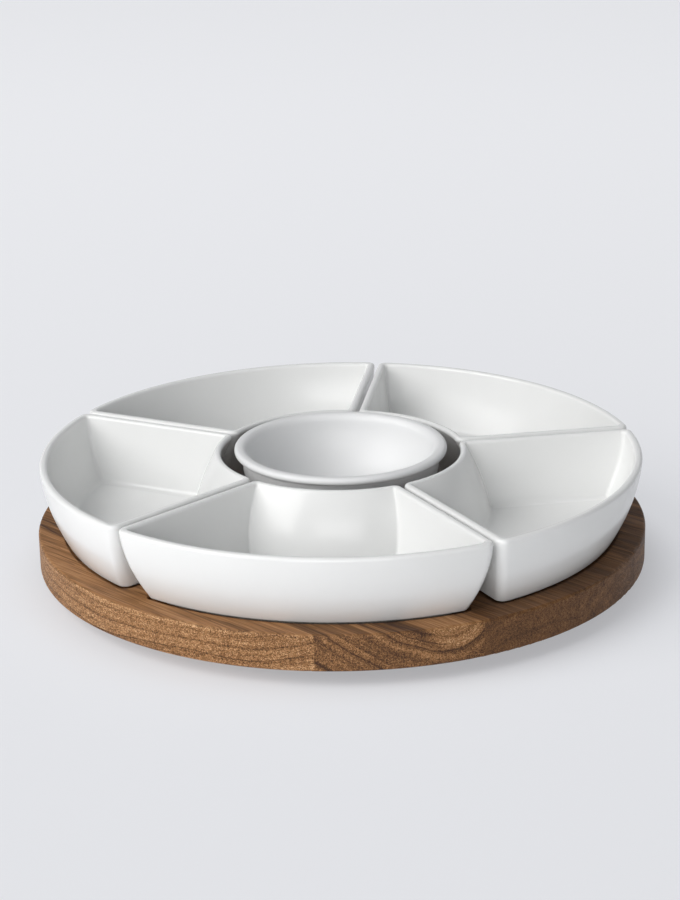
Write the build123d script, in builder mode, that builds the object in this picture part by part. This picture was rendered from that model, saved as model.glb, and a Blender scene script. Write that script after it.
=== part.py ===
"""Chip and dip server: five segment dishes round a dip bowl, sunk in a wooden board that turns on a ball ring.

Millimetres. The origin is on the table under the centre of the board, +Z is up, and the front dish is at -Y.
"""

import os
from math import cos, radians, sin

from build123d import *

# Board, glued up from staves that run aslant under the dishes
BOARD_RADIUS = 173.5
BOARD_THICKNESS = 20.5
BOARD_UNDERSIDE = 9.0
BOARD_EDGE_RADIUS = 1.5
STAVE_ANGLE = -36.8
STAVE_JOINTS = (-133.0, -60.5, 3.0, 66.8, 133.0)

# Pockets that hold the dishes and the bowl. A dish's pocket has a shallow ledge round the part that holds its foot
POCKET_DEPTH = 5.0
LEDGE_DEPTH = 2.5
LEDGE_WIDTH = 6.0
POCKET_OUTER_RADIUS = 159.7
POCKET_INNER_RADIUS = 79.5
POCKET_SIDE_OFFSET = 6.8
POCKET_CORNER_RADIUS = 6.0

# Segment dishes, whose walls would lean in by a run from the rim down to the seat. They end level with the top of
# the board, over a foot that is set in. The outer and side walls swell by a share of the run, and the inner wall is
# hollowed by a share of it
DISH_NAMES = ("front_dish", "right_dish", "rear_right_dish", "rear_left_dish", "left_dish")
DISH_HEIGHT = 45.3
DISH_WALL = 4.5
DISH_FLOOR = 7.0
RIM_OUTER_RADIUS = 171.0
RIM_INNER_RADIUS = 67.0
RIM_SIDE_OFFSET = 1.0
RIM_ROUND = 1.9
OUTER_WALL_RUN = 16.0
INNER_WALL_RUN = 15.6
SIDE_WALL_RUN = 9.2
WALL_SWELL = 0.2
INNER_WALL_HOLLOW = 0.12
DISH_CORNER_RADIUS = 5.0
DISH_UNDERSIDE_ROUND = 1.5
CAVITY_INNER_CORNER_RADIUS = 3.8
CAVITY_OUTER_CORNER_RADIUS = 2.6
CAVITY_FLOOR_ROUND = 3.6
DISH_FOOT_CLEARANCE = 1.0
DISH_FOOT_ROUND = 0.8
FOOT_RING_WIDTH = 5.0
FOOT_RECESS = 2.5

# Dip bowl
BOWL_HEIGHT = 48.2
BOWL_LIP_RADIUS = 60.6
BOWL_LIP_THICKNESS = 4.6
BOWL_LIP_ROUND = 2.2
BOWL_BODY_RADIUS = 56.3
BOWL_MOUTH_RADIUS = 53.0
BOWL_MOUTH_ROUND = 4.0
BOWL_FOOT_RADIUS = 38.0
BOWL_FLOOR = 7.0
BOWL_INSIDE_RADIUS = 35.0
BOWL_POCKET_CLEARANCE = 2.0

# Turning ring: an outer race that stands on the table and an inner race screwed to the board
BASE_RING_RADIUS = 100.0
RING_RACE_GAP = 1.4
RING_HEIGHT = 6.0
RING_EDGE_ROUND = 0.6
TOP_RING_HOLE_RADIUS = 74.0
BALL_PITCH_RADIUS = 87.5
BALL_RADIUS = 1.5
BALL_COUNT = 36
RACE_CLEARANCE = 0.05
CAGE_THICKNESS = 0.8
CAGE_HEIGHT = 5.0
CAGE_HOLE_CLEARANCE = 0.1

# Rubber feet and ring screws
FOOT_COUNT = 6
FOOT_CIRCLE_RADIUS = 94.8
FOOT_RADIUS = 4.8
FOOT_THICKNESS = 1.5
FOOT_STEM_RADIUS = 2.5
FOOT_STEM_LENGTH = 2.5
FOOT_ROUND = 0.4
SCREW_COUNT = 6
SCREW_CIRCLE_RADIUS = 80.4
SCREW_START_ANGLE = STAVE_ANGLE + 180 / SCREW_COUNT
SCREW_RADIUS = 1.75
SCREW_HEAD_RADIUS = 3.5
SCREW_HEAD_ANGLE = 90
SCREW_LENGTH = 14.0
SCREW_SLOT = (3.6, 0.8, 1.0)
FIT_CLEARANCE = 0.05

# Levels worked out from the sizes above
SEGMENT_ANGLE = 360 / len(DISH_NAMES)
FOOT_INSET = LEDGE_WIDTH + DISH_FOOT_CLEARANCE
BOARD_TOP = BOARD_UNDERSIDE + BOARD_THICKNESS
SEAT = BOARD_TOP - POCKET_DEPTH
RIM_TOP = SEAT + DISH_HEIGHT
DISH_FLOOR_TOP = SEAT + DISH_FLOOR
TOP_RING_UNDERSIDE = BOARD_UNDERSIDE - RING_HEIGHT
BASE_RING_TOP = FOOT_THICKNESS + RING_HEIGHT
BALL_LEVEL = (TOP_RING_UNDERSIDE + BASE_RING_TOP) / 2

os.makedirs("parts", exist_ok=True)


def save(piece, name):
    """Label one finished piece and write its file."""
    piece.label = name
    export_step(piece, f"parts/{name}.step")


def from_below(level):
    """Plane at a level that looks down, for holes drilled upwards."""
    return Plane(origin=(0, 0, level), x_dir=(1, 0, 0), z_dir=(0, 0, -1))


def wall_run(full_run, swell, bottom):
    """How far a wall with a full run and a swell leans in from the rim down to a level."""
    share = (RIM_TOP - bottom) / DISH_HEIGHT
    return full_run * share * (1 - 4 * swell * (1 - share))


def upright_edges(block):
    """Edges of a block's walls, in rows from the outer wall to the inner one."""
    levels = block.faces().sort_by(Axis.Z)
    return (block.edges() - levels[-1].edges() - levels[0].edges()).group_by(Axis.Y)


def segment_block(bottom, inset, inner_corner, outer_corner, bottom_round):
    """Solid bounded by the four walls of the front dish, set in from their outer faces, down to a bottom level."""
    inner_run = wall_run(INNER_WALL_RUN, -INNER_WALL_HOLLOW, bottom)
    outer_run = wall_run(OUTER_WALL_RUN, WALL_SWELL, bottom)
    side_run = wall_run(SIDE_WALL_RUN, WALL_SWELL, bottom)
    inner_rim = RIM_INNER_RADIUS + inset
    outer_rim = RIM_OUTER_RADIUS - inset
    side_rim = RIM_SIDE_OFFSET + inset
    reach = 2 * RIM_OUTER_RADIUS
    with BuildPart() as block:
        # The inner and outer walls are turned about the centre of the board
        with BuildSketch(Plane.XZ):
            with BuildLine():
                SagittaArc((inner_rim, RIM_TOP), (inner_rim + inner_run, bottom), INNER_WALL_HOLLOW * inner_run)
                Line((inner_rim + inner_run, bottom), (outer_rim - outer_run, bottom))
                SagittaArc((outer_rim - outer_run, bottom), (outer_rim, RIM_TOP), -WALL_SWELL * outer_run)
                Line((outer_rim, RIM_TOP), (inner_rim, RIM_TOP))
            make_face()
        revolve(axis=Axis.Z)
        # Each side wall follows a ray between two dishes, and keeps the part on its inward side
        for side in (-1, 1):
            ray = Vector(0, -1).rotate(Axis.Z, side * SEGMENT_ANGLE / 2)
            inward = ray.rotate(Axis.Z, -90 * side)
            with BuildSketch(Plane(origin=(0, 0, 0), x_dir=inward, z_dir=ray * -side)):
                with BuildLine():
                    SagittaArc((side_rim, RIM_TOP), (side_rim + side_run, bottom), -WALL_SWELL * side_run)
                    Polyline((side_rim + side_run, bottom), (reach, bottom), (reach, RIM_TOP), (side_rim, RIM_TOP))
                make_face()
            extrude(amount=reach, both=True, mode=Mode.INTERSECT)
        fillet(upright_edges(block)[-1], inner_corner)
        fillet(upright_edges(block)[0], outer_corner)
        fillet(block.faces().sort_by(Axis.Z)[0].edges(), bottom_round)
    return block.part


def pocket_outline(inset):
    """Sketch of the front dish's pocket, drawn in by an inset."""
    half_angle = radians(SEGMENT_ANGLE / 2)
    with BuildSketch() as outline:
        Circle(POCKET_OUTER_RADIUS - inset)
        Circle(POCKET_INNER_RADIUS + inset, mode=Mode.SUBTRACT)
        with BuildLine():
            apex = Vector(0, -(POCKET_SIDE_OFFSET + inset) / sin(half_angle))
            reach = Vector(sin(half_angle), -cos(half_angle)) * 2 * BOARD_RADIUS
            Polyline(apex, apex + reach, apex + Vector(-reach.X, reach.Y), close=True)
        make_face(mode=Mode.INTERSECT)
        fillet(outline.vertices(), POCKET_CORNER_RADIUS)
    return outline.sketch


# Segment dish: the outer block hollowed by a smaller one, with a rounded rim, on a foot that stands in the pocket
outer_block = segment_block(BOARD_TOP, 0, DISH_CORNER_RADIUS, DISH_CORNER_RADIUS, DISH_UNDERSIDE_ROUND)
cavity = segment_block(
    DISH_FLOOR_TOP,
    DISH_WALL,
    CAVITY_INNER_CORNER_RADIUS,
    CAVITY_OUTER_CORNER_RADIUS,
    CAVITY_FLOOR_ROUND,
)
with BuildPart() as segment_dish:
    add(outer_block)
    add(cavity, mode=Mode.SUBTRACT)
    fillet(segment_dish.faces().sort_by(Axis.Z)[-1].edges(), RIM_ROUND)
    with BuildSketch(Plane.XY.offset(BOARD_TOP)):
        add(pocket_outline(FOOT_INSET))
    extrude(amount=-POCKET_DEPTH)
    fillet(segment_dish.faces().sort_by(Axis.Z)[0].edges(), DISH_FOOT_ROUND)
    # The foot is hollowed a little, so that the dish stands on an unglazed ring
    with BuildSketch(Plane.XY.offset(SEAT)):
        add(pocket_outline(FOOT_INSET + FOOT_RING_WIDTH))
    extrude(amount=FOOT_RECESS, mode=Mode.SUBTRACT)

for index, name in enumerate(DISH_NAMES):
    save(segment_dish.part.rotate(Axis.Z, index * SEGMENT_ANGLE), name)

# Dip bowl, turned from one section with a rolled lip
lip_underside = SEAT + BOWL_HEIGHT - BOWL_LIP_THICKNESS
bowl_top = SEAT + BOWL_HEIGHT
inside_floor = SEAT + BOWL_FLOOR
recess_top = SEAT + FOOT_RECESS
foot_hollow_radius = BOWL_FOOT_RADIUS - FOOT_RING_WIDTH
inside_centre = (BOWL_MOUTH_RADIUS - BOWL_INSIDE_RADIUS, inside_floor + BOWL_INSIDE_RADIUS)
with BuildPart() as dip_bowl:
    with BuildSketch(Plane.XZ) as bowl_section:
        with BuildLine():
            Polyline((0, recess_top), (foot_hollow_radius - FOOT_RECESS, recess_top), (foot_hollow_radius, SEAT))
            Line((foot_hollow_radius, SEAT), (BOWL_FOOT_RADIUS, SEAT))
            TangentArc((BOWL_BODY_RADIUS, lip_underside), (BOWL_FOOT_RADIUS, SEAT), tangent=(0, -1))
            Polyline(
                (BOWL_BODY_RADIUS, lip_underside),
                (BOWL_LIP_RADIUS, lip_underside),
                (BOWL_LIP_RADIUS, bowl_top),
                (BOWL_MOUTH_RADIUS, bowl_top),
                (BOWL_MOUTH_RADIUS, inside_centre[1]),
            )
            CenterArc(inside_centre, BOWL_INSIDE_RADIUS, 0, -90)
            Polyline((inside_centre[0], inside_floor), (0, inside_floor), (0, recess_top))
        make_face()
        lip_corners = bowl_section.vertices().group_by(Axis.X)[-1]
        fillet(lip_corners, BOWL_LIP_ROUND)
        fillet(bowl_section.vertices().group_by(Axis.Y)[-1].sort_by(Axis.X)[0], BOWL_MOUTH_ROUND)
    revolve(axis=Axis.Z)
save(dip_bowl.part, "dip_bowl")

# Board: a round slab with a pocket for each dish and the bowl, and pilot holes for the ring screws
with BuildPart() as board:
    with Locations((0, 0, BOARD_UNDERSIDE)):
        Cylinder(BOARD_RADIUS, BOARD_THICKNESS, align=(Align.CENTER, Align.CENTER, Align.MIN))
    fillet(board.edges(), BOARD_EDGE_RADIUS)
    for inset, depth in ((0, LEDGE_DEPTH), (LEDGE_WIDTH, POCKET_DEPTH)):
        with BuildSketch(Plane.XY.offset(BOARD_TOP)):
            for index in range(len(DISH_NAMES)):
                add(pocket_outline(inset), rotation=index * SEGMENT_ANGLE)
        extrude(amount=-depth, mode=Mode.SUBTRACT)
    with Locations((0, 0, SEAT)):
        Cylinder(
            BOWL_FOOT_RADIUS + POCKET_DEPTH + BOWL_POCKET_CLEARANCE,
            POCKET_DEPTH,
            align=(Align.CENTER, Align.CENTER, Align.MIN),
            mode=Mode.SUBTRACT,
        )
    with Locations(from_below(BOARD_UNDERSIDE)):
        with PolarLocations(SCREW_CIRCLE_RADIUS, SCREW_COUNT, start_angle=-SCREW_START_ANGLE):
            Hole(SCREW_RADIUS, depth=SCREW_LENGTH - RING_HEIGHT + FIT_CLEARANCE)

# The staves are the board sawn along its glue joints
stave_edges = (-BOARD_RADIUS, *STAVE_JOINTS, BOARD_RADIUS)
stave_plane = Plane.XY.rotated((0, 0, STAVE_ANGLE))
for index, (low, high) in enumerate(zip(stave_edges, stave_edges[1:]), start=1):
    with BuildPart() as stave:
        add(board.part)
        with Locations(stave_plane * Location((0, (low + high) / 2, BOARD_UNDERSIDE))):
            Box(
                2 * BOARD_RADIUS,
                high - low,
                BOARD_THICKNESS,
                align=(Align.CENTER, Align.CENTER, Align.MIN),
                mode=Mode.INTERSECT,
            )
    save(stave.part, f"board_stave_{index}")

# Races of the turning ring, with a ball groove between them
base_ring_hole = BALL_PITCH_RADIUS + RING_RACE_GAP / 2
top_ring_radius = BALL_PITCH_RADIUS - RING_RACE_GAP / 2
groove_radius = BALL_RADIUS + RACE_CLEARANCE

with BuildPart() as base_ring:
    with BuildSketch(Plane.XY.offset(FOOT_THICKNESS)):
        Circle(BASE_RING_RADIUS)
        Circle(base_ring_hole, mode=Mode.SUBTRACT)
    extrude(amount=RING_HEIGHT)
    fillet(base_ring.edges(), RING_EDGE_ROUND)
    with Locations((0, 0, BALL_LEVEL)):
        Torus(BALL_PITCH_RADIUS, groove_radius, mode=Mode.SUBTRACT)
    with Locations(from_below(FOOT_THICKNESS)):
        with PolarLocations(FOOT_CIRCLE_RADIUS, FOOT_COUNT):
            Hole(FOOT_STEM_RADIUS, depth=FOOT_STEM_LENGTH)
save(base_ring.part, "base_ring")

with BuildPart() as top_ring:
    with BuildSketch(Plane.XY.offset(TOP_RING_UNDERSIDE)):
        Circle(top_ring_radius)
        Circle(TOP_RING_HOLE_RADIUS, mode=Mode.SUBTRACT)
    extrude(amount=RING_HEIGHT)
    fillet(top_ring.edges(), RING_EDGE_ROUND)
    with Locations((0, 0, BALL_LEVEL)):
        Torus(BALL_PITCH_RADIUS, groove_radius, mode=Mode.SUBTRACT)
    with Locations(from_below(TOP_RING_UNDERSIDE)):
        with PolarLocations(SCREW_CIRCLE_RADIUS, SCREW_COUNT, start_angle=-SCREW_START_ANGLE):
            CounterSinkHole(SCREW_RADIUS, SCREW_HEAD_RADIUS, counter_sink_angle=SCREW_HEAD_ANGLE)
save(top_ring.part, "top_ring")

# Steel balls and the cage that spaces them
with BuildPart() as bearing_balls:
    with Locations((0, 0, BALL_LEVEL)):
        with PolarLocations(BALL_PITCH_RADIUS, BALL_COUNT):
            Sphere(BALL_RADIUS)
save(bearing_balls.part, "bearing_balls")

with BuildPart() as ball_cage:
    with BuildSketch(Plane.XY.offset(BALL_LEVEL - CAGE_HEIGHT / 2)):
        Circle(BALL_PITCH_RADIUS + CAGE_THICKNESS / 2)
        Circle(BALL_PITCH_RADIUS - CAGE_THICKNESS / 2, mode=Mode.SUBTRACT)
    extrude(amount=CAGE_HEIGHT)
    with Locations((0, 0, BALL_LEVEL)):
        with PolarLocations(BALL_PITCH_RADIUS, BALL_COUNT):
            Cylinder(
                BALL_RADIUS + CAGE_HOLE_CLEARANCE,
                2 * CAGE_THICKNESS,
                rotation=(0, 90, 0),
                mode=Mode.SUBTRACT,
            )
save(ball_cage.part, "ball_cage")

# Countersunk screws that hold the top ring to the board, with a cross slot in each head
head_radius = SCREW_HEAD_RADIUS - FIT_CLEARANCE
shank_radius = SCREW_RADIUS - FIT_CLEARANCE
with BuildPart() as ring_screws:
    with Locations((0, 0, TOP_RING_UNDERSIDE)):
        with PolarLocations(SCREW_CIRCLE_RADIUS, SCREW_COUNT, start_angle=SCREW_START_ANGLE):
            Cylinder(shank_radius, SCREW_LENGTH, align=(Align.CENTER, Align.CENTER, Align.MIN))
            Cone(
                head_radius,
                shank_radius,
                head_radius - shank_radius,
                align=(Align.CENTER, Align.CENTER, Align.MIN),
            )
            for turn in (0, 90):
                Box(
                    *SCREW_SLOT,
                    rotation=(0, 0, turn),
                    align=(Align.CENTER, Align.CENTER, Align.MIN),
                    mode=Mode.SUBTRACT,
                )
save(ring_screws.part, "ring_screws")

# Rubber feet, each a pad with a stem pushed into the base ring
with BuildPart() as rubber_foot:
    with Locations((FOOT_CIRCLE_RADIUS, 0, 0)):
        Cylinder(FOOT_RADIUS, FOOT_THICKNESS, align=(Align.CENTER, Align.CENTER, Align.MIN))
    fillet(rubber_foot.edges().sort_by(Axis.Z)[0], FOOT_ROUND)
    with Locations((FOOT_CIRCLE_RADIUS, 0, FOOT_THICKNESS)):
        Cylinder(
            FOOT_STEM_RADIUS - FIT_CLEARANCE,
            FOOT_STEM_LENGTH - FIT_CLEARANCE,
            align=(Align.CENTER, Align.CENTER, Align.MIN),
        )
for index in range(FOOT_COUNT):
    save(rubber_foot.part.rotate(Axis.Z, index * 360 / FOOT_COUNT), f"rubber_foot_{index + 1}")
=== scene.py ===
from collections import namedtuple
from math import atan, cos, pi, radians, sin, sqrt

import bmesh
import bpy
from mathutils import Matrix, Quaternion, Vector


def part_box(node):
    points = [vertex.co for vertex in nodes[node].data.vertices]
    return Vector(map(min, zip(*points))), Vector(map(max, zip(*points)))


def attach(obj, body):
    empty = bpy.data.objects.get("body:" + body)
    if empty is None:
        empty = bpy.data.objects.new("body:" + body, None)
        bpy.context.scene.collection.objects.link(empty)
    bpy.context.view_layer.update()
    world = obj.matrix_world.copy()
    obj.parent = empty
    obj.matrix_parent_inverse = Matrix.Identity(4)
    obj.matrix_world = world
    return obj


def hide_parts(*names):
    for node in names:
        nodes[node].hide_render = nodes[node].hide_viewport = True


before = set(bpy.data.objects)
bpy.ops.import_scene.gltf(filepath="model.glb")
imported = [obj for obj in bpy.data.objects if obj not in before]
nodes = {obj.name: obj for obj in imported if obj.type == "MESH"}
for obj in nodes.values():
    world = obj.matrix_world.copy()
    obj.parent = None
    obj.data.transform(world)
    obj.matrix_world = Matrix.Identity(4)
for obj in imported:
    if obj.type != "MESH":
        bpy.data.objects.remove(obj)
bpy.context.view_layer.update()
MM = 0.001

# Levels read from the frame
BOARD_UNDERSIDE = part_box("board_stave_3")[0].z
BOARD_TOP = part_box("board_stave_3")[1].z
BOARD_MIDDLE = (BOARD_TOP + BOARD_UNDERSIDE) / 2
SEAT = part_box("front_dish")[0].z
RIM_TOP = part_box("front_dish")[1].z
BOWL_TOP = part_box("dip_bowl")[1].z
RUBBER_FOOT_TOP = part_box("rubber_foot_1")[1].z

# Segment dishes
DISHES = ("front_dish", "right_dish", "rear_right_dish", "rear_left_dish", "left_dish")
SEGMENT_ANGLE = 2 * pi / len(DISHES)
RIM_OUTER_RADIUS = 171.0 * MM
RIM_INNER_RADIUS = 67.0 * MM
RIM_SIDE_OFFSET = 1.0 * MM
RIM_ROUND = 1.9 * MM
RIM_TURN = radians(120)
DISH_DEPTH = RIM_TOP - SEAT
DISH_WALL = 4.5 * MM
DISH_FLOOR = 7.0 * MM
OUTER_WALL_RUN = 16.0 * MM
INNER_WALL_RUN = 15.6 * MM
SIDE_WALL_RUN = 9.2 * MM
WALL_SWELL = 0.2
INNER_WALL_HOLLOW = 0.12
DISH_CORNER = 5.0 * MM
DISH_UNDERSIDE_ROUND = 1.5 * MM
CAVITY_INNER_CORNER = 1.5 * MM
CAVITY_OUTER_CORNER = 2.2 * MM
CAVITY_FLOOR_ROUND = 3.6 * MM
LEAST_CORNER = 0.8 * MM
DISH_FOOT_OUTER_RADIUS = 152.7 * MM
DISH_FOOT_INNER_RADIUS = 86.5 * MM
DISH_FOOT_SIDE_OFFSET = 13.8 * MM
DISH_FOOT_CORNER = 6.0 * MM
DISH_FOOT_ROUND = 0.8 * MM

# Dip bowl
BOWL_LIP_RADIUS = 60.6 * MM
BOWL_LIP_THICKNESS = 4.6 * MM
BOWL_LIP_ROUND = 2.2 * MM
BOWL_BODY_RADIUS = 56.3 * MM
BOWL_MOUTH_RADIUS = 53.0 * MM
BOWL_MOUTH_ROUND = 4.0 * MM
BOWL_FOOT_RADIUS = 38.0 * MM
BOWL_FLOOR = 7.0 * MM
BOWL_INSIDE_RADIUS = 35.0 * MM

# Ring that every dish and the bowl stand on, round a shallow hollow
FOOT_RING_WIDTH = 5.0 * MM
FOOT_HOLLOW = 2.5 * MM

# Rubber feet, with two grip rings moulded in each sole
RUBBER_FOOT_COUNT = 6
RUBBER_FOOT_CIRCLE = 94.8 * MM
RUBBER_FOOT_RADIUS = 4.8 * MM
RUBBER_FOOT_THICKNESS = 1.5 * MM
RUBBER_FOOT_ROUND = 0.4 * MM
RUBBER_STEM_RADIUS = 2.45 * MM
SOLE_DIMPLE_RADIUS = 1.5 * MM
INNER_GRIP_RADIUS = 2.8 * MM
OUTER_GRIP_RADIUS = 3.7 * MM
GRIP_HEIGHT = 0.3 * MM
GRIP_SLOPE = 0.2 * MM

# Fineness of the meshes
ARC_STEPS = 26
CORNER_STEPS = 10
SIDE_STEPS = 16
WALL_STEPS = 14
ROUND_STEPS = 10
DISH_FOOT_STEPS = 5
BOWL_STEPS = 260
BOWL_SIDES = 160
RUBBER_FOOT_STEPS = 120
RUBBER_FOOT_SIDES = 48
MERGE_DISTANCE = 0.002 * MM
SEAM_DISTANCE = 0.01 * MM
SHARP_ANGLE = radians(40)

# Glaze, and the unglazed clay of the feet below it, whose dark grey-brown is painted shade in the gap round
# each foot
GLAZE_END = BOARD_TOP - 0.4 * MM
SHADED_CLAY_DARK = (0.36, 0.33, 0.29)
SHADED_CLAY_LIGHT = (0.46, 0.43, 0.38)
CLAY_ROUGHNESS = 0.75

# Oiled acacia: cells of its patterns in a metre along the log, across it and up
STAVE_ANGLE = radians(-36.8)
WANDER_CELLS = (7, 16, 16)
DRIFT_CELLS = (4, 40, 40)
FIBRE_CELLS = (16, 700, 700)
STREAK_CELLS = (45, 1300, 1300)
SPECKLE_CELLS = (2400, 2400, 2400)
YEAR_CELLS = 190.0
RING_WANDER = 22.0 * MM
SAPWOOD_WANDER = 6.0 * MM

# Oiled acacia: how far each pattern moves the tone or the relief, and the colours from dark to light
DRIFT_WEIGHT = 0.45
FIBRE_WEIGHT = 0.45
STREAK_WEIGHT = 0.26
GRAIN_WEIGHT = 0.6
SAPWOOD_LIGHTER = 0.22
SAPWOOD_LINES_FADED = 0.7
SAPWOOD_BAND_DARKER = 0.14
WOOD_COLOURS = (
    (0.10, (0.052, 0.022, 0.009)),
    (0.38, (0.149, 0.068, 0.024)),
    (0.62, (0.288, 0.137, 0.052)),
    (0.85, (0.450, 0.240, 0.105)),
    (1.00, (0.640, 0.395, 0.205)),
)

# Turning marks in a metre of the rings' radius
TURNING_CELLS = 5200.0

# Studio floor, in metres from the middle of the board, a hair below the soles
FLOOR_LEVEL = -0.2 * MM
FLOOR_HALF_WIDTH = 10.0
FLOOR_FRONT = -8.0
FLOOR_BACK = 9.0
FLOOR_BEND = 3.0
FLOOR_LIFT = 6.0
PAPER_NEAR = -0.8
PAPER_FAR = 1.6

# Share of the floor's look that is its own even glow, beside the board and further out
GLOW_BESIDE = 0.44
GLOW_FURTHER = 0.68
GLOW_START_RADIUS = 172.0 * MM
GLOW_FULL_RADIUS = 205.0 * MM

# Camera, fitted to the ellipses of the board and the rims
PHOTO_LONG_SIDE = 900
FOCAL_PIXELS = 2299.7
SENSOR = 36.0
LOOK_AT = Vector((-0.41 * MM, -0.06 * MM, BOARD_UNDERSIDE + 59.69 * MM))
CAMERA_DISTANCE = 1312.35 * MM
CAMERA_AZIMUTH = radians(8.18)
CAMERA_ELEVATION = radians(19.0)
CAMERA_ROLL = radians(-0.954)
CAMERA_REACH = 50


# Shader and geometry node helpers
class Nodes:
    """A node tree that is written as calls. An output is passed on as a (node, output) pair."""

    def __init__(self, group):
        self.group = group

    def fill(self, socket, value):
        """Set an input socket to a plain value, or link it from a (node, output) pair."""
        if isinstance(value, tuple) and isinstance(value[0], bpy.types.Node):
            self.group.links.new(value[0].outputs[value[1]], socket)
        else:
            socket.default_value = value

    def make(self, kind, sockets=None, **settings):
        """Add a node with its settings, and fill its sockets."""
        node = self.group.nodes.new(kind)
        for name, value in settings.items():
            setattr(node, name, value)
        for name, value in (sockets or {}).items():
            self.fill(node.inputs[name], value)
        return node

    def maths(self, operation, *values):
        """Add a Math node on numbers or outputs."""
        return self.make("ShaderNodeMath", dict(enumerate(values)), operation=operation), "Value"

    def vectors(self, operation, *values):
        """Add a Vector Math node."""
        node = self.make("ShaderNodeVectorMath", dict(enumerate(values)), operation=operation)
        return node, "Value" if operation == "LENGTH" else "Vector"

    def axis(self, vector, name):
        """Take one axis of a vector."""
        return self.make("ShaderNodeSeparateXYZ", {"Vector": vector}), name

    def spread(self, value, low, high, to_low=0.0, to_high=1.0):
        """Map a value from one range to another, clamped and smoothed."""
        sockets = {"Value": value, "From Min": low, "From Max": high, "To Min": to_low, "To Max": to_high}
        return self.make("ShaderNodeMapRange", sockets, interpolation_type="SMOOTHSTEP"), "Result"

    def noise(self, vector, cells, detail=2.0, roughness=0.5, output="Fac"):
        """Add a noise with so many cells in a metre along each axis."""
        stretched = self.make("ShaderNodeMapping", {"Vector": vector, "Scale": cells})
        sockets = {"Vector": (stretched, "Vector"), "Scale": 1.0, "Detail": detail, "Roughness": roughness}
        return self.make("ShaderNodeTexNoise", sockets), output

    def noise_along(self, length, cells, detail=2.0, roughness=0.5):
        """Add a noise along one length, with so many cells in a metre."""
        run = self.maths("MULTIPLY", length, cells)
        sockets = {"W": run, "Scale": 1.0, "Detail": detail, "Roughness": roughness}
        return self.make("ShaderNodeTexNoise", sockets, noise_dimensions="1D"), "Fac"

    def random_cells(self, vector, cells):
        """Add a random value in each of many small cells, with so many in a metre along each axis."""
        stretched = self.make("ShaderNodeMapping", {"Vector": vector, "Scale": cells})
        sockets = {"Vector": (stretched, "Vector"), "Scale": 1.0, "Randomness": 1.0}
        cell = self.make("ShaderNodeTexVoronoi", sockets)
        return self.make("ShaderNodeSeparateColor", {"Color": (cell, "Color")}), "Red"

    def ramp(self, value, stops):
        """Add a colour ramp whose stops are (place, colour)."""
        node = self.make("ShaderNodeValToRGB", {"Fac": value})
        elements = node.color_ramp.elements
        while len(elements) < len(stops):
            elements.new(1.0)
        for element, (place, colour) in zip(elements, stops):
            element.position = place
            element.color = (*colour, 1.0)
        return node, "Color"

    def mix(self, factor, first, second):
        """Mix two colours, each a triple or an output. The colour sockets are known by number alone."""
        node = self.make("ShaderNodeMix", {0: factor}, data_type="RGBA")
        for number, colour in ((6, first), (7, second)):
            plain = not isinstance(colour[0], bpy.types.Node)
            self.fill(node.inputs[number], (*colour, 1.0) if plain else colour)
        return node, 2


def evenly(number):
    """The same number along all three axes."""
    return (number, number, number)


def new_material(name, **constants):
    """Start a material with one Principled shader, whose even values are set on its own sockets."""
    material = bpy.data.materials.new(name)
    material.use_nodes = True
    material.node_tree.nodes.clear()
    tree = Nodes(material.node_tree)
    sockets = {key.replace("_", " "): value for key, value in constants.items()}
    shader = tree.make("ShaderNodeBsdfPrincipled", sockets)
    tree.make("ShaderNodeOutputMaterial", {"Surface": (shader, "BSDF")})
    return material, tree, shader


def object_place(tree):
    """Object coordinates and the object's own normal."""
    place = tree.make("ShaderNodeTexCoord")
    return (place, "Object"), (place, "Normal")


def surface(tree, shader, colour, roughness):
    """Lead a colour and a roughness to the shader."""
    tree.fill(shader.inputs["Base Color"], colour)
    tree.fill(shader.inputs["Roughness"], roughness)


def relief(tree, shader, height, strength, distance):
    """Bump the shader with a height."""
    bump = tree.make("ShaderNodeBump", {"Height": height, "Strength": strength, "Distance": distance})
    tree.fill(shader.inputs["Normal"], (bump, "Normal"))


# Finishes
def glaze(name, light, shade, smoothest, roughest):
    """Clear glaze over porcelain, a little uneven, which ends above an unglazed matt foot, painted dark as
    shade in the gap round it.
    """
    material, tree, shader = new_material(name, IOR=1.5)
    place, _ = object_place(tree)
    cloud = tree.noise(place, evenly(14), detail=3.0)
    body = tree.mix(tree.spread(cloud, 0.3, 0.7), shade, light)
    # Below the glaze's end the foot is unglazed, rough clay, its colour painted dark as shade in the
    # pocket's gap
    bare_and_shaded_foot = tree.maths("LESS_THAN", tree.axis(place, "Z"), GLAZE_END)
    grit = tree.noise(place, evenly(900), detail=3.0)
    shaded_clay = tree.mix(tree.spread(grit, 0.35, 0.65), SHADED_CLAY_DARK, SHADED_CLAY_LIGHT)
    sheen = tree.spread(tree.noise(place, evenly(40)), 0.3, 0.7, smoothest, roughest)
    rough = tree.maths("MAXIMUM", sheen, tree.maths("MULTIPLY", bare_and_shaded_foot, CLAY_ROUGHNESS))
    surface(tree, shader, tree.mix(bare_and_shaded_foot, body, shaded_clay), rough)
    ripple = tree.noise(place, evenly(38), detail=1.0)
    relief(tree, shader, ripple, strength=0.10, distance=0.6 * MM)
    return material


# Where the pith of a stave's log lies across the board and in height, its rings in a metre, the weights of
# its ring lines and its broad years, its tone, the weight of the pores on its edge, its shift along the log,
# and a tongue of sapwood if it has one
Stave = namedtuple(
    "Stave",
    "ring_across ring_height rings line figure tone speck slide sapwood",
    defaults=(None,),
)
Sapwood = namedtuple("Sapwood", "across height radius")


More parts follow.
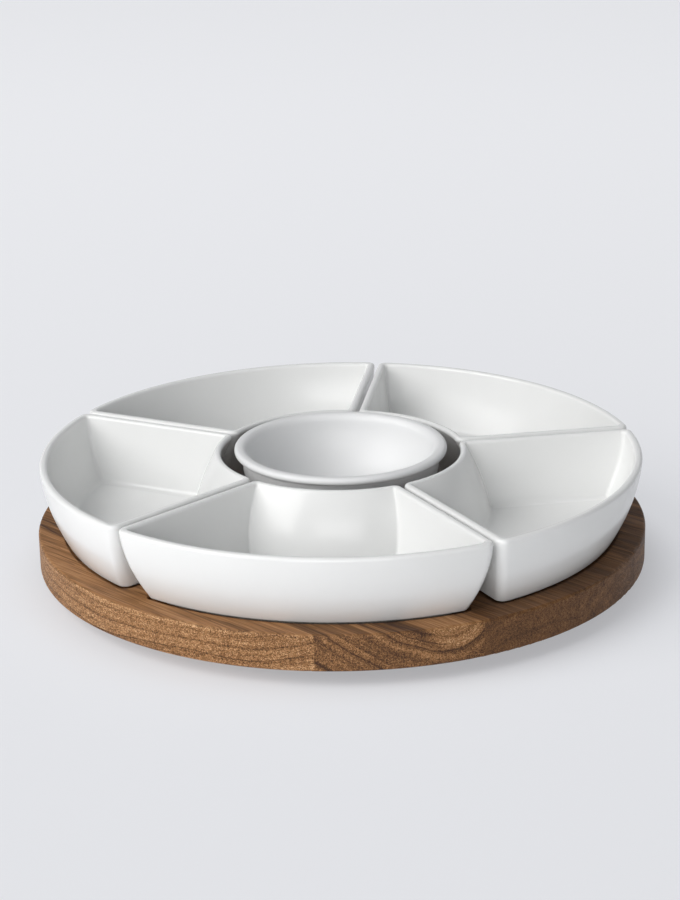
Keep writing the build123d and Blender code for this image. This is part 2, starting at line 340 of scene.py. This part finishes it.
def log_place(tree, place, slide, across, height):
    """Place in a log whose pith runs along the stave, at a distance across the board and a height."""
    pith = (slide, -across, -height)
    sockets = {"Vector": place, "Rotation": (0, 0, -STAVE_ANGLE), "Location": pith}
    return tree.make("ShaderNodeMapping", sockets), "Vector"


def from_pith(tree, log):
    """Distance from the pith."""
    return tree.vectors("LENGTH", tree.vectors("MULTIPLY", log, (0.0, 1.0, 1.0)))


def growth_rings(tree, log, wander, rings):
    """Broad light and dark years, and the thin line that closes each ring."""
    bent = tree.vectors("MULTIPLY_ADD", wander, (0.0, RING_WANDER, RING_WANDER), log)
    radius = from_pith(tree, bent)
    years = tree.noise_along(radius, YEAR_CELLS, detail=3.0, roughness=0.6)
    saw = tree.maths("FRACT", tree.maths("MULTIPLY", radius, rings))
    line = tree.maths("MULTIPLY", tree.spread(saw, 0.62, 0.97), tree.spread(years, 0.62, 0.38))
    return years, line


def sapwood_tongue(tree, place, wander, slide, sapwood):
    """Pale sapwood round a line along the log, and the dark band round it."""
    bent = tree.vectors("MULTIPLY_ADD", wander, evenly(SAPWOOD_WANDER), place)
    reach = from_pith(tree, log_place(tree, bent, slide, sapwood.across, sapwood.height))
    radius = sapwood.radius
    pale = tree.spread(reach, radius, 0.80 * radius)
    band_start = tree.spread(reach, 0.95 * radius, 1.08 * radius)
    band_end = tree.spread(reach, 1.30 * radius, 1.10 * radius)
    return pale, tree.maths("MULTIPLY", band_start, band_end)


def cut_pores(tree, log, normal, speck):
    """Pores: a fine random speckle on the board's edge, and short streaks on its faces."""
    upright = tree.maths("ABSOLUTE", tree.axis(normal, "Z"))
    edge = tree.spread(upright, 0.75, 0.45)
    face = tree.maths("SUBTRACT", 1.0, edge)
    speckle = tree.maths("SUBTRACT", tree.random_cells(log, SPECKLE_CELLS), 0.5)
    speckle = tree.maths("MULTIPLY", tree.maths("MULTIPLY", speckle, edge), speck)
    streak = tree.maths("SUBTRACT", tree.random_cells(log, STREAK_CELLS), 0.5)
    streak = tree.maths("MULTIPLY", face, tree.maths("MULTIPLY", streak, STREAK_WEIGHT))
    return tree.maths("ADD", speckle, streak)


def oiled_acacia(name, stave):
    """Oiled acacia, cut from a log whose rings run round a pith beside the stave."""
    material, tree, shader = new_material(name, Specular_IOR_Level=0.28)
    place, normal = object_place(tree)
    log = log_place(tree, place, stave.slide, stave.ring_across, stave.ring_height)
    wander = tree.vectors("SUBTRACT", tree.noise(log, WANDER_CELLS, output="Color"), evenly(0.5))
    years, line = growth_rings(tree, log, wander, stave.rings)
    drift = tree.noise(log, DRIFT_CELLS, detail=3.0, roughness=0.55)
    fibre = tree.noise(log, FIBRE_CELLS, detail=4.0, roughness=0.6)
    tone = tree.maths("MULTIPLY_ADD", years, stave.figure, stave.tone)
    tone = tree.maths("MULTIPLY_ADD", drift, DRIFT_WEIGHT, tone)
    tone = tree.maths("MULTIPLY_ADD", fibre, FIBRE_WEIGHT, tone)
    tone = tree.maths("SUBTRACT", tone, tree.maths("MULTIPLY", line, stave.line))
    if stave.sapwood:
        pale, band = sapwood_tongue(tree, place, wander, stave.slide, stave.sapwood)
        faded = tree.maths("MULTIPLY", pale, line)
        tone = tree.maths("MULTIPLY_ADD", pale, SAPWOOD_LIGHTER, tone)
        tone = tree.maths("MULTIPLY_ADD", faded, SAPWOOD_LINES_FADED * stave.line, tone)
        tone = tree.maths("MULTIPLY_ADD", band, -SAPWOOD_BAND_DARKER, tone)
    pores = cut_pores(tree, log, normal, stave.speck)
    wood = tree.ramp(tree.maths("ADD", tone, pores), WOOD_COLOURS)
    surface(tree, shader, wood, tree.spread(fibre, 0.25, 0.75, to_low=0.66, to_high=0.50))
    grain = tree.maths("MULTIPLY_ADD", fibre, GRAIN_WEIGHT, pores)
    relief(tree, shader, grain, strength=0.30, distance=0.25 * MM)
    return material


def turned_aluminium():
    """Aluminium with fine concentric turning marks."""
    material, tree, shader = new_material("turned_aluminium", Metallic=1.0)
    place, _ = object_place(tree)
    radius = tree.vectors("LENGTH", tree.vectors("MULTIPLY", place, (1.0, 1.0, 0.0)))
    marks = tree.noise_along(radius, TURNING_CELLS)
    colour = tree.mix(marks, (0.60, 0.61, 0.62), (0.78, 0.79, 0.80))
    surface(tree, shader, colour, tree.spread(marks, 0.2, 0.8, to_low=0.28, to_high=0.44))
    relief(tree, shader, marks, strength=0.12, distance=0.05 * MM)
    return material


def bright_steel():
    """Zinc-bright steel with faint rubbing marks."""
    material, tree, shader = new_material("bright_steel", Metallic=1.0)
    place, _ = object_place(tree)
    rub = tree.noise(place, evenly(700), detail=3.0)
    colour = tree.mix(rub, (0.50, 0.50, 0.51), (0.70, 0.70, 0.69))
    surface(tree, shader, colour, tree.spread(rub, 0.3, 0.7, to_low=0.18, to_high=0.34))
    return material


def natural_nylon():
    """Milky moulded nylon."""
    material, tree, shader = new_material("natural_nylon", IOR=1.53)
    place, _ = object_place(tree)
    cloud = tree.noise(place, evenly(260), detail=3.0)
    colour = tree.mix(cloud, (0.68, 0.66, 0.60), (0.80, 0.78, 0.72))
    surface(tree, shader, colour, tree.spread(cloud, 0.3, 0.7, to_low=0.42, to_high=0.55))
    return material


def black_rubber():
    """Matt moulded rubber with a fine grain."""
    material, tree, shader = new_material("black_rubber", IOR=1.5)
    place, _ = object_place(tree)
    grain = tree.noise(place, evenly(2200), detail=3.0)
    colour = tree.mix(grain, (0.018, 0.018, 0.018), (0.045, 0.044, 0.043))
    surface(tree, shader, colour, tree.spread(grain, 0.3, 0.7, to_low=0.72, to_high=0.88))
    relief(tree, shader, grain, strength=0.25, distance=0.06 * MM)
    return material


def studio_paper():
    """Plain pale floor and backdrop with an even glow, weaker beside the board, where its shadow falls."""
    material, tree, shader = new_material("studio_paper", Roughness=0.9, Specular_IOR_Level=0.1)
    place, _ = object_place(tree)
    away = tree.spread(tree.axis(place, "Y"), PAPER_NEAR, PAPER_FAR)
    paper = tree.mix(away, (0.89, 0.90, 0.925), (0.95, 0.955, 0.975))
    tree.fill(shader.inputs["Base Color"], paper)
    shine = tree.mix(away, (0.765, 0.775, 0.810), (0.925, 0.935, 0.970))
    glow = tree.make("ShaderNodeEmission", {"Color": shine})
    radius = tree.vectors("LENGTH", place)
    share = tree.spread(radius, GLOW_START_RADIUS, GLOW_FULL_RADIUS, GLOW_BESIDE, GLOW_FURTHER)
    path = tree.make("ShaderNodeLightPath")
    looking = tree.maths("MAXIMUM", (path, "Is Camera Ray"), (path, "Is Glossy Ray"))
    looking = tree.maths("MAXIMUM", looking, (path, "Is Transmission Ray"))
    seen = tree.maths("MULTIPLY", looking, share)
    both = tree.make("ShaderNodeMixShader", {0: seen, 1: (shader, "BSDF"), 2: (glow, "Emission")})
    output = material.node_tree.nodes["Material Output"]
    tree.fill(output.inputs["Surface"], (both, "Shader"))
    return material


# Mesh helpers
def new_object(name, mesh):
    """Link a mesh to the scene as an object at the origin."""
    piece = bpy.data.objects.new(name, mesh)
    bpy.context.scene.collection.objects.link(piece)
    return piece


def finish_mesh(mesh):
    """Merge doubles, turn the faces outwards and shade smooth between sharp edges."""
    work = bmesh.new()
    work.from_mesh(mesh)
    bmesh.ops.remove_doubles(work, verts=work.verts, dist=MERGE_DISTANCE)
    bmesh.ops.recalc_face_normals(work, faces=work.faces)
    work.to_mesh(mesh)
    work.free()
    mesh.shade_smooth()
    mesh.set_sharp_from_angle(angle=SHARP_ANGLE)


def arc_points(centre, radius, start, end, steps):
    """Points of an arc in a plane, both ends included."""
    angles = [start + (end - start) * step / steps for step in range(steps + 1)]
    return [Vector((centre[0] + radius * cos(angle), centre[1] + radius * sin(angle))) for angle in angles]


# Segment dishes: loops of the rounded segment outline, stacked from the foot over the rim to the floor
Outline = namedtuple("Outline", "inner outer side inner_corner outer_corner level")
Wall = namedtuple("Wall", "run swell")
Face = namedtuple("Face", "inset depth rim_side foot_round inner_corner outer_corner")
INNER_WALL = Wall(INNER_WALL_RUN, -INNER_WALL_HOLLOW)
OUTER_WALL = Wall(OUTER_WALL_RUN, WALL_SWELL)
SIDE_WALL = Wall(SIDE_WALL_RUN, WALL_SWELL)
OUTSIDE = Face(
    inset=0.0,
    depth=RIM_TOP - BOARD_TOP,
    rim_side=1,
    foot_round=DISH_UNDERSIDE_ROUND,
    inner_corner=DISH_CORNER,
    outer_corner=DISH_CORNER,
)
CAVITY = Face(
    inset=DISH_WALL,
    depth=DISH_DEPTH - DISH_FLOOR,
    rim_side=-1,
    foot_round=CAVITY_FLOOR_ROUND,
    inner_corner=CAVITY_INNER_CORNER,
    outer_corner=CAVITY_OUTER_CORNER,
)


def segment_outline(shape):
    """Points of the front dish's outline, from the middle of its inner arc round its right side and back."""
    ray = -pi / 2 + SEGMENT_ANGLE / 2
    along = Vector((cos(ray), sin(ray)))
    inward = Vector((sin(ray), -cos(ray)))
    inner_in = shape.side + shape.inner_corner
    outer_in = shape.side + shape.outer_corner
    inner_centre = along * sqrt((shape.inner + shape.inner_corner) ** 2 - inner_in**2) + inward * inner_in
    outer_centre = along * sqrt((shape.outer - shape.outer_corner) ** 2 - outer_in**2) + inward * outer_in
    inner_angle = inner_centre.angle_signed(Vector((1, 0)))
    outer_angle = outer_centre.angle_signed(Vector((1, 0)))
    to_side = ray + pi / 2
    half = arc_points((0, 0), shape.inner, -pi / 2, inner_angle, ARC_STEPS)
    half += arc_points(inner_centre, shape.inner_corner, inner_angle + pi, to_side, CORNER_STEPS)[1:]
    outer_corner = arc_points(outer_centre, shape.outer_corner, to_side, outer_angle, CORNER_STEPS)
    start = half[-1]
    half += [start.lerp(outer_corner[0], step / SIDE_STEPS) for step in range(1, SIDE_STEPS)]
    half += outer_corner
    half += arc_points((0, 0), shape.outer, outer_angle, -pi / 2, ARC_STEPS)[1:]
    return half + [Vector((-point.x, point.y)) for point in half[-2:0:-1]]


def bow(share, swell):
    """Share of its run that a wall has leaned in at a share of its depth. A swell below zero hollows it."""
    return share * (1 - 4 * swell * (1 - share))


def half_chord(height, radius):
    """Half the width of a circle at a height above its lowest point."""
    return sqrt(height * (2 * radius - height))


def lean_in(wall, face, depth):
    """How far a wall leans in at a depth below the rim, and what its round at the rim or the foot adds."""
    run = wall.run * bow(face.depth / DISH_DEPTH, wall.swell)
    rim_lean = atan(run / face.depth * (1 - 4 * wall.swell))
    foot_lean = atan(run / face.depth * (1 + 4 * wall.swell))
    rim_end = RIM_ROUND * (1 + face.rim_side * sin(rim_lean))
    foot_start = face.depth - face.foot_round * (1 - sin(foot_lean))
    lean = run * bow(min(max(depth, rim_end), foot_start) / face.depth, wall.swell)
    turn = 0.0
    if depth < rim_end:
        turn = face.rim_side * (RIM_ROUND * cos(rim_lean) - half_chord(depth, RIM_ROUND))
    elif depth > foot_start:
        turn = face.foot_round * cos(foot_lean) - half_chord(face.depth - depth, face.foot_round)
    return lean + turn, turn


def face_outline(face, depth):
    """Outline of the dish on its outside or in its cavity, at a depth below the rim."""
    inner, _ = lean_in(INNER_WALL, face, depth)
    outer, _ = lean_in(OUTER_WALL, face, depth)
    side, turn = lean_in(SIDE_WALL, face, depth)
    return Outline(
        inner=RIM_INNER_RADIUS + face.inset + inner,
        outer=RIM_OUTER_RADIUS - face.inset - outer,
        side=RIM_SIDE_OFFSET + face.inset + side,
        inner_corner=max(face.inner_corner - turn, LEAST_CORNER),
        outer_corner=max(face.outer_corner - turn, LEAST_CORNER),
        level=RIM_TOP - depth,
    )


def face_depths(face):
    """Depths of the outlines of a face, close together on the rounds at its rim and its foot."""
    shares = [step / ROUND_STEPS for step in range(ROUND_STEPS + 1)]
    rim = [RIM_ROUND * (1 - cos(RIM_TURN * share)) for share in shares]
    foot = [face.depth - face.foot_round * (1 - sin(pi / 2 * share)) for share in shares]
    wall = [rim[-1] + (foot[0] - rim[-1]) * step / WALL_STEPS for step in range(1, WALL_STEPS)]
    return rim + wall + foot


def foot_outline(inset, corner, level):
    """Outline of the foot of a dish, drawn in by an inset."""
    return Outline(
        inner=DISH_FOOT_INNER_RADIUS + inset,
        outer=DISH_FOOT_OUTER_RADIUS - inset,
        side=DISH_FOOT_SIDE_OFFSET + inset,
        inner_corner=corner,
        outer_corner=corner,
        level=level,
    )


def dish_section():
    """Every outline of a dish in order: foot hollow, foot, outside up to the rim, cavity down."""
    hollow = foot_outline(FOOT_RING_WIDTH, DISH_FOOT_CORNER, SEAT)
    section = [hollow._replace(level=SEAT + FOOT_HOLLOW), hollow]
    for step in range(DISH_FOOT_STEPS + 1):
        angle = pi / 2 * step / DISH_FOOT_STEPS
        inset = DISH_FOOT_ROUND * (1 - sin(angle))
        level = SEAT + DISH_FOOT_ROUND * (1 - cos(angle))
        section.append(foot_outline(inset, DISH_FOOT_CORNER - inset, level))
    section.append(foot_outline(0.0, DISH_FOOT_CORNER, BOARD_TOP))
    section += [face_outline(OUTSIDE, depth) for depth in reversed(face_depths(OUTSIDE))]
    return section + [face_outline(CAVITY, depth) for depth in face_depths(CAVITY)]


def flat_patch(work, loop):
    """Fill a flat loop with a grid that runs from the inner arc to the outer one."""
    count = len(loop)
    half_inner = ARC_STEPS + CORNER_STEPS // 2
    across = 2 * half_inner
    sides = SIDE_STEPS + CORNER_STEPS
    outer_start = half_inner + sides
    inner = [loop[(index - half_inner) % count] for index in range(across + 1)]
    right = loop[half_inner:outer_start + 1]
    outer = loop[outer_start:outer_start + across + 1][::-1]
    left = [loop[(-half_inner - index) % count] for index in range(sides + 1)]
    rows = [inner]
    for down in range(1, sides):
        low = down / sides
        row = [left[down]]
        for over in range(1, across):
            aside = over / across
            between_arcs = inner[over].co.lerp(outer[over].co, low)
            between_sides = left[down].co.lerp(right[down].co, aside)
            inner_chord = inner[0].co.lerp(inner[-1].co, aside)
            outer_chord = outer[0].co.lerp(outer[-1].co, aside)
            row.append(work.verts.new(between_arcs + between_sides - inner_chord.lerp(outer_chord, low)))
        rows.append(row + [right[down]])
    rows.append(outer)
    for first, second in zip(rows, rows[1:]):
        for index in range(len(first) - 1):
            work.faces.new((first[index], first[index + 1], second[index + 1], second[index]))


def glazed_dish(name, turn):
    """Mesh of one segment dish, turned to its place round the board."""
    work = bmesh.new()
    loops = []
    for shape in dish_section():
        loops.append([work.verts.new((point.x, point.y, shape.level)) for point in segment_outline(shape)])
    for first, second in zip(loops, loops[1:]):
        for index in range(len(first)):
            after = (index + 1) % len(first)
            work.faces.new((first[index], first[after], second[after], second[index]))
    flat_patch(work, loops[0])
    flat_patch(work, loops[-1])
    bmesh.ops.rotate(work, verts=work.verts, cent=(0, 0, 0), matrix=Matrix.Rotation(turn, 3, "Z"))
    mesh = bpy.data.meshes.new(name)
    work.to_mesh(mesh)
    work.free()
    finish_mesh(mesh)
    return new_object(name, mesh)


# Geometry Nodes trees
def geometry_tree(name, inputs):
    """A Geometry Nodes tree with a geometry input, further named inputs and a geometry output."""
    group = bpy.data.node_groups.new(name, "GeometryNodeTree")
    group.interface.new_socket("Geometry", in_out="INPUT", socket_type="NodeSocketGeometry")
    for socket, kind in inputs.items():
        group.interface.new_socket(socket, in_out="INPUT", socket_type=kind)
    group.interface.new_socket("Geometry", in_out="OUTPUT", socket_type="NodeSocketGeometry")
    tree = Nodes(group)
    return tree, tree.make("NodeGroupInput")


def end_tree(tree, geometry, source):
    """Close a tree with Realize Instances and Set Material."""
    real = tree.make("GeometryNodeRealizeInstances", {"Geometry": geometry})
    sockets = {"Geometry": (real, "Geometry"), "Material": (source, "Material")}
    finish = tree.make("GeometryNodeSetMaterial", sockets)
    tree.make("NodeGroupOutput", {"Geometry": (finish, "Geometry")})
    return tree.group


def turned_piece_tree():
    """Turns a profile, drawn in the XZ plane, about Z."""
    inputs = {"Steps": "NodeSocketInt", "Sides": "NodeSocketInt", "Material": "NodeSocketMaterial"}
    tree, source = geometry_tree("turned piece", inputs)
    profile = tree.make("GeometryNodeMeshToCurve", {"Mesh": (source, "Geometry")})
    rows = tree.maths("ADD", (source, "Sides"), 1)
    sheet = tree.make("GeometryNodeMeshGrid", {"Vertices X": (source, "Steps"), "Vertices Y": rows})
    place = tree.make("GeometryNodeInputPosition"), "Position"
    along = tree.maths("ADD", tree.axis(place, "X"), 0.5)
    angle = tree.maths("MULTIPLY", tree.maths("ADD", tree.axis(place, "Y"), 0.5), 2 * pi)
    sockets = {"Curves": (profile, "Curve"), "Factor": along}
    point = tree.make("GeometryNodeSampleCurve", sockets, mode="FACTOR")
    sockets = {"Vector": (point, "Position"), "Angle": angle}
    turned = tree.make("ShaderNodeVectorRotate", sockets, rotation_type="Z_AXIS")
    sockets = {"Geometry": (sheet, "Mesh"), "Position": (turned, "Vector")}
    skin = tree.make("GeometryNodeSetPosition", sockets)
    sockets = {"Geometry": (skin, "Geometry"), "Distance": SEAM_DISTANCE}
    closed = tree.make("GeometryNodeMergeByDistance", sockets)
    return end_tree(tree, (closed, "Geometry"), source)


def ring_of_copies_tree():
    """Sets copies of a piece round a circle, each turned to face outwards."""
    inputs = {"Count": "NodeSocketInt", "Circle Radius": "NodeSocketFloat", "Material": "NodeSocketMaterial"}
    tree, source = geometry_tree("ring of copies", inputs)
    sockets = {"Vertices": (source, "Count"), "Radius": (source, "Circle Radius")}
    circle = tree.make("GeometryNodeMeshCircle", sockets)
    step = tree.maths("DIVIDE", 2 * pi, (source, "Count"))
    turn = tree.maths("MULTIPLY", (tree.make("GeometryNodeInputIndex"), "Index"), step)
    rotation = tree.make("ShaderNodeCombineXYZ", {"Z": turn})
    sockets = {
        "Points": (circle, "Mesh"),
        "Instance": (source, "Geometry"),
        "Rotation": (rotation, "Vector"),
    }
    copies = tree.make("GeometryNodeInstanceOnPoints", sockets)
    return end_tree(tree, (copies, "Instances"), source)


def run_tree(piece, group, values):
    """Run a tree on an object and leave its result as the object's plain mesh."""
    modifier = piece.modifiers.new(group.name, "NODES")
    modifier.node_group = group
    for item in group.interface.items_tree:
        if item.in_out == "INPUT" and item.name in values:
            modifier[item.identifier] = values[item.name]
    evaluated = piece.evaluated_get(bpy.context.evaluated_depsgraph_get())
    mesh = bpy.data.meshes.new_from_object(evaluated)
    piece.modifiers.remove(modifier)
    piece.data = mesh
    finish_mesh(mesh)
    return piece


def line_object(name, points):
    """An object whose mesh is a chain of edges through points in the XZ plane."""
    mesh = bpy.data.meshes.new(name)
    edges = [(index, index + 1) for index in range(len(points) - 1)]
    mesh.from_pydata([(point[0], 0.0, point[1]) for point in points], edges, [])
    return new_object(name, mesh)


def bowl_profile():
    """Half section of the dip bowl, from the middle of its foot hollow out, over the lip and down inside."""
    lip_underside = BOWL_TOP - BOWL_LIP_THICKNESS
    rise = lip_underside - SEAT
    flare = BOWL_BODY_RADIUS - BOWL_FOOT_RADIUS
    body_radius = (flare**2 + rise**2) / (2 * flare)
    body_centre = (BOWL_BODY_RADIUS - body_radius, lip_underside)
    foot_angle = -pi / 2 + Vector((0, -1)).angle(Vector((BOWL_FOOT_RADIUS - body_centre[0], -rise)))
    ring_inside = BOWL_FOOT_RADIUS - FOOT_RING_WIDTH
    hollow_level = SEAT + FOOT_HOLLOW
    lip_out = BOWL_LIP_RADIUS - BOWL_LIP_ROUND
    lip_low = (lip_out, lip_underside + BOWL_LIP_ROUND)
    lip_high = (lip_out, BOWL_TOP - BOWL_LIP_ROUND)
    mouth = (BOWL_MOUTH_RADIUS + BOWL_MOUTH_ROUND, BOWL_TOP - BOWL_MOUTH_ROUND)
    inside_centre = (BOWL_MOUTH_RADIUS - BOWL_INSIDE_RADIUS, SEAT + BOWL_FLOOR + BOWL_INSIDE_RADIUS)
    profile = [
        Vector((0, hollow_level)),
        Vector((ring_inside - FOOT_HOLLOW, hollow_level)),
        Vector((ring_inside, SEAT)),
    ]
    profile += arc_points(body_centre, body_radius, foot_angle, 0, steps=40)
    profile += arc_points(lip_low, BOWL_LIP_ROUND, -pi / 2, 0, steps=10)
    profile += arc_points(lip_high, BOWL_LIP_ROUND, 0, pi / 2, steps=10)
    profile += arc_points(mouth, BOWL_MOUTH_ROUND, pi / 2, pi, steps=14)
    profile += arc_points(inside_centre, BOWL_INSIDE_RADIUS, 0, -pi / 2, steps=48)
    return profile + [Vector((0, SEAT + BOWL_FLOOR))]


def rubber_foot_profile():
    """Half section of a rubber foot: a pad with two grip rings in its sole, and a stem."""
    edge_centre = (RUBBER_FOOT_RADIUS - RUBBER_FOOT_ROUND, RUBBER_FOOT_ROUND)
    profile = [
        Vector((0, GRIP_HEIGHT)),
        Vector((SOLE_DIMPLE_RADIUS, GRIP_HEIGHT)),
        Vector((SOLE_DIMPLE_RADIUS + GRIP_SLOPE, 0)),
        Vector((INNER_GRIP_RADIUS, 0)),
        Vector((INNER_GRIP_RADIUS + GRIP_SLOPE, GRIP_HEIGHT)),
        Vector((OUTER_GRIP_RADIUS - GRIP_SLOPE, GRIP_HEIGHT)),
        Vector((OUTER_GRIP_RADIUS, 0)),
    ]
    profile += arc_points(edge_centre, RUBBER_FOOT_ROUND, -pi / 2, 0, steps=6)
    return profile + [
        Vector((RUBBER_FOOT_RADIUS, RUBBER_FOOT_THICKNESS)),
        Vector((RUBBER_STEM_RADIUS, RUBBER_FOOT_THICKNESS)),
        Vector((RUBBER_STEM_RADIUS, RUBBER_FOOT_TOP)),
        Vector((0, RUBBER_FOOT_TOP)),
    ]


# Dishes and bowl
warm_glaze = glaze(
    "warm_white_glaze",
    light=(0.84, 0.845, 0.838),
    shade=(0.818, 0.824, 0.816),
    smoothest=0.16,
    roughest=0.24,
)
cool_glaze = glaze(
    "cool_white_glaze",
    light=(0.82, 0.825, 0.828),
    shade=(0.797, 0.803, 0.807),
    smoothest=0.40,
    roughest=0.48,
)

for index, dish in enumerate(DISHES):
    piece = glazed_dish(f"glazed_{dish}", index * SEGMENT_ANGLE)
    piece.data.materials.append(warm_glaze)
    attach(piece, dish)
    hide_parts(dish)

bowl = run_tree(
    line_object("glazed_dip_bowl", bowl_profile()),
    turned_piece_tree(),
    {"Steps": BOWL_STEPS, "Sides": BOWL_SIDES, "Material": cool_glaze},
)
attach(bowl, "dip_bowl")
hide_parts("dip_bowl")

# Board: each stave has its own place in the log, its own tone and its own stretch of grain
STAVES = (
    Stave(
        ring_across=-165 * MM, ring_height=BOARD_MIDDLE + 58 * MM, rings=320,
        line=0.26, figure=0.65, tone=-0.17, speck=0.70, slide=0.31,
    ),
    Stave(
        ring_across=-82 * MM, ring_height=BOARD_MIDDLE + 36 * MM, rings=240,
        line=0.36, figure=0.80, tone=-0.43, speck=0.60, slide=0.83,
        sapwood=Sapwood(across=-75 * MM, height=34.7 * MM, radius=17.2 * MM),
    ),
    Stave(
        ring_across=-20 * MM, ring_height=BOARD_MIDDLE - 120 * MM, rings=150,
        line=0.04, figure=0.20, tone=-0.20, speck=0.36, slide=1.37,
    ),
    Stave(
        ring_across=60 * MM, ring_height=BOARD_MIDDLE - 60 * MM, rings=180,
        line=0.04, figure=0.18, tone=-0.23, speck=0.36, slide=2.11,
    ),
    Stave(
        ring_across=70 * MM, ring_height=BOARD_MIDDLE - 110 * MM, rings=170,
        line=0.10, figure=0.60, tone=-0.40, speck=0.36, slide=2.71,
    ),
    Stave(
        ring_across=160 * MM, ring_height=BOARD_MIDDLE + 70 * MM, rings=160,
        line=0.14, figure=0.75, tone=-0.40, speck=0.40, slide=3.29,
    ),
)


def dress(node, material):
    """Give a carried-over node its finish."""
    nodes[node].data.materials.clear()
    nodes[node].data.materials.append(material)


for number, stave in enumerate(STAVES, start=1):
    dress(f"board_stave_{number}", oiled_acacia(f"oiled_acacia_{number}", stave))

# Turning ring
aluminium = turned_aluminium()
steel = bright_steel()
rubber = black_rubber()
dress("base_ring", aluminium)
dress("top_ring", aluminium)
dress("bearing_balls", steel)
dress("ring_screws", steel)
dress("ball_cage", natural_nylon())

foot = run_tree(
    line_object("moulded_feet", rubber_foot_profile()),
    turned_piece_tree(),
    {"Steps": RUBBER_FOOT_STEPS, "Sides": RUBBER_FOOT_SIDES, "Material": rubber},
)
feet = run_tree(
    foot,
    ring_of_copies_tree(),
    {"Count": RUBBER_FOOT_COUNT, "Circle Radius": RUBBER_FOOT_CIRCLE, "Material": rubber},
)
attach(feet, "base")
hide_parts(*(f"rubber_foot_{number}" for number in range(1, RUBBER_FOOT_COUNT + 1)))


# Studio: floor with a swept-up back, soft lights and the camera
def sweep_floor():
    """One sheet that runs from in front of the object to behind it and curves up."""
    bend_start = FLOOR_BACK - FLOOR_BEND
    bend_centre = (bend_start, FLOOR_LEVEL + FLOOR_BEND)
    line = [Vector((FLOOR_FRONT, FLOOR_LEVEL)), Vector((bend_start, FLOOR_LEVEL))]
    line += arc_points(bend_centre, FLOOR_BEND, -pi / 2, 0, steps=16)[1:]
    line.append(Vector((FLOOR_BACK, FLOOR_LIFT)))
    mesh = bpy.data.meshes.new("studio_floor")
    points = [(side * FLOOR_HALF_WIDTH, point.x, point.y) for point in line for side in (-1, 1)]
    faces = [(2 * index, 2 * index + 1, 2 * index + 3, 2 * index + 2) for index in range(len(line) - 1)]
    mesh.from_pydata(points, [], faces)
    mesh.shade_smooth()
    floor = new_object("studio_floor", mesh)
    floor.data.materials.append(studio_paper())


def soft_light(name, direction, distance, size, watts, tint):
    """A square soft light that faces the middle of the board from a direction."""
    lamp = bpy.data.lights.new(name, "AREA")
    lamp.shape = "SQUARE"
    lamp.size = size
    lamp.energy = watts
    lamp.color = tint
    holder = bpy.data.objects.new(name, lamp)
    bpy.context.scene.collection.objects.link(holder)
    toward = Vector(direction).normalized()
    holder.location = Vector((0, 0, BOARD_TOP)) + toward * distance
    holder.rotation_mode = "QUATERNION"
    holder.rotation_quaternion = toward.to_track_quat("Z", "Y")


def studio_world(strength):
    """Even pale light from all round."""
    world = bpy.data.worlds.new("studio")
    bpy.context.scene.world = world
    world.use_nodes = True
    world.node_tree.nodes.clear()
    tree = Nodes(world.node_tree)
    light = tree.make("ShaderNodeBackground", {"Color": (0.95, 0.97, 1.0, 1.0), "Strength": strength})
    tree.make("ShaderNodeOutputWorld", {"Surface": (light, "Background")})


def photo_camera():
    """Camera at the photograph's place, with its slight roll."""
    camera = bpy.data.cameras.new("camera")
    camera.sensor_fit = "AUTO"
    camera.sensor_width = SENSOR
    camera.lens = FOCAL_PIXELS / PHOTO_LONG_SIDE * SENSOR
    camera.clip_end = CAMERA_REACH
    level = cos(CAMERA_ELEVATION)
    back = Vector((sin(CAMERA_AZIMUTH) * level, -cos(CAMERA_AZIMUTH) * level, sin(CAMERA_ELEVATION)))
    holder = bpy.data.objects.new("camera", camera)
    bpy.context.scene.collection.objects.link(holder)
    holder.location = LOOK_AT + back * CAMERA_DISTANCE
    holder.rotation_mode = "QUATERNION"
    holder.rotation_quaternion = (-back).to_track_quat("-Z", "Y") @ Quaternion((0, 0, 1), CAMERA_ROLL)
    bpy.context.scene.camera = holder


sweep_floor()
soft_light("key", direction=(-0.66, -0.50, 0.62), distance=4.4, size=3.6, watts=150, tint=(1.0, 0.99, 0.98))
soft_light("front", direction=(0.10, -1.0, 0.12), distance=4.0, size=2.6, watts=64, tint=(1.0, 1.0, 1.0))
soft_light("high", direction=(-0.35, -0.45, 1.0), distance=5.0, size=4.0, watts=22, tint=(0.98, 0.99, 1.0))
studio_world(strength=0.24)
photo_camera()
bpy.context.scene.view_settings.view_transform = "Standard"
